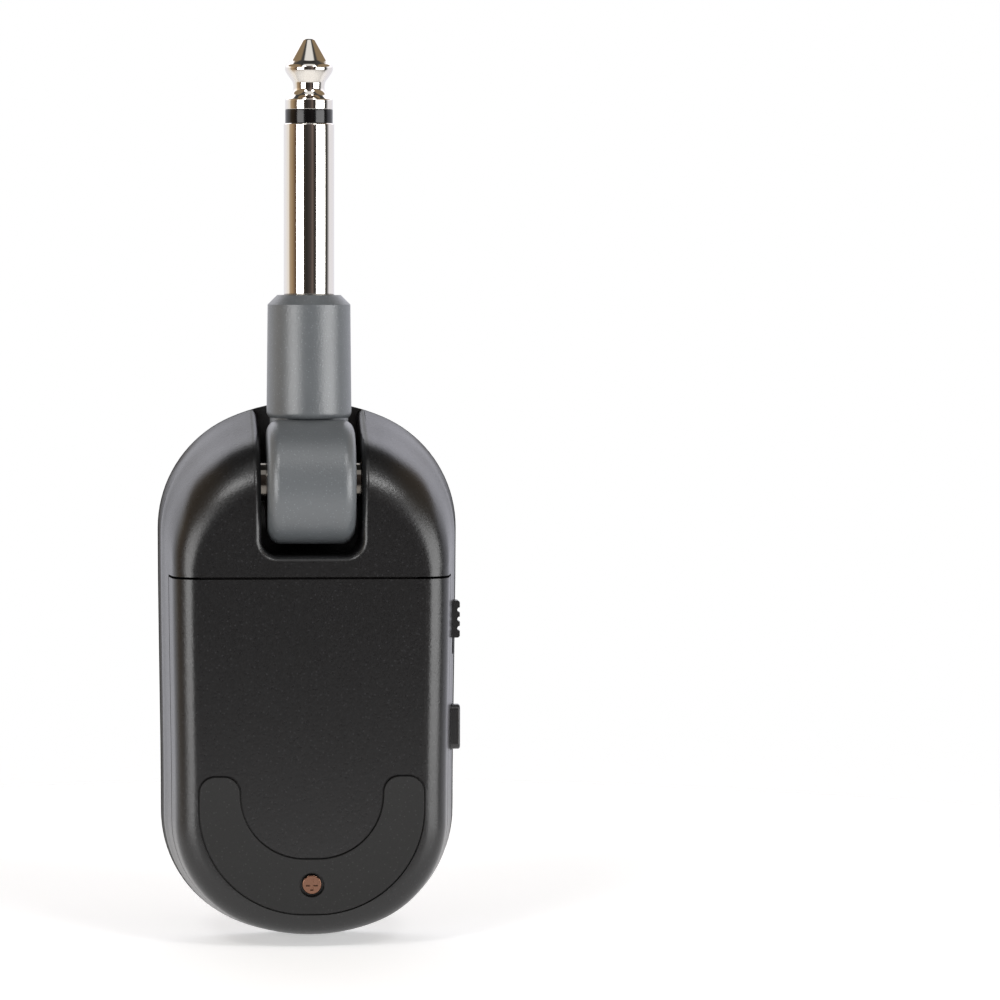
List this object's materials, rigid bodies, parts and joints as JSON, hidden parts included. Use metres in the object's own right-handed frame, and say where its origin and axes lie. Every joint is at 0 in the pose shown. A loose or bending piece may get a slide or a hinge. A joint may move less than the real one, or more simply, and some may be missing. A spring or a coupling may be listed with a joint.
{
  "type": "wireless guitar transmitter",
  "caption": "Plug-in wireless guitar transmitter: an oval black housing that swings on a hinge about a 6.35 mm jack plug, with a slide switch, a pairing button and a rubber grip pad.",
  "frame": {"origin": "where the plug's sleeve leaves the collar, on the plug's axis", "axes": "+Z along the plug to its tip, +Y out of the plain front face, -Y out of the back with the hinge slot, grip pad and cover screw, +X towards the side with the controls"},
  "size_m": [0.0384, 0.0204, 0.1141],
  "materials": {
    "nickel": "bright nickel plate",
    "black_insulator": "moulded nylon",
    "tinned_brass": "tinned, satin",
    "arm_plastic": "fine spark-eroded texture",
    "wire_sleeve": "soft pvc",
    "hinge_steel": "turned, bright",
    "spring_steel": "bright spring steel",
    "bush_bronze": "sintered bronze",
    "shell_plastic": "fine spark-eroded texture",
    "pad_rubber": "matt silicone",
    "copper_screw": "copper-coloured plating",
    "screw_steel": "black zinc",
    "control_plastic": "satin",
    "switch_body": "glass-filled nylon",
    "switch_lever": "natural acetal",
    "board_laminate": "green solder mask",
    "shield_steel": "tinned steel",
    "chip_resin": "moulded epoxy",
    "antenna_ceramic": "fired ceramic",
    "led_resin": "phosphor resin",
    "light_pipe_clear": "frosted clear acrylic",
    "socket_steel": "nickel-plated steel",
    "cell_foil": "laminated foil",
    "tape_foam": "closed-cell foam",
    "connector_nylon": "natural nylon"
  },
  "bodies": {
    "plug_arm": {"plug_sleeve": "nickel", "plug_tip": "nickel", "plug_insulator": "black_insulator", "tip_tag": "tinned_brass", "ground_tag": "tinned_brass", "arm_shell": "arm_plastic", "plug_wires": "wire_sleeve", "hinge_pin": "hinge_steel", "retaining_clip": "spring_steel", "wave_washer": "spring_steel"},
    "housing": {"hinge_bushes": "bush_bronze", "rear_housing": "shell_plastic", "front_shell": "shell_plastic", "rear_cover": "shell_plastic", "grip_pad": "pad_rubber", "cover_screw": "copper_screw", "case_screws": "screw_steel", "power_switch": "switch_body", "pair_switch": "switch_body", "main_board": "board_laminate", "rf_shield": "shield_steel", "radio_chip": "chip_resin", "audio_chip": "chip_resin", "charge_chip": "chip_resin", "antenna": "antenna_ceramic", "status_led": "led_resin", "light_pipe": "light_pipe_clear", "usb_c_socket": "socket_steel", "battery_cell": "cell_foil", "battery_tape": "tape_foam", "battery_socket": "connector_nylon", "battery_leads": "wire_sleeve", "hinge_wires": "wire_sleeve"},
    "power_slider": {"slide_knob": "control_plastic", "power_switch_lever": "switch_lever"},
    "pair_key": {"pair_button": "control_plastic", "pair_switch_plunger": "switch_lever"}
  },
  "joints": [
    {"name": "housing_swing", "type": "hinge", "parent": "plug_arm", "child": "housing", "pos_m": [0, -0.004, -0.0234], "axis": [-1, 0, 0], "range_deg": [0, 135]},
    {"name": "power_slide", "type": "slide", "parent": "housing", "child": "power_slider", "axis": [0, 0, -1], "range_m": [0, 0.002]},
    {"name": "pair_press", "type": "slide", "parent": "housing", "child": "pair_key", "axis": [-1, 0, 0], "range_m": [0, 0.0004], "stiffness_N_per_m": 1500}
  ]
}
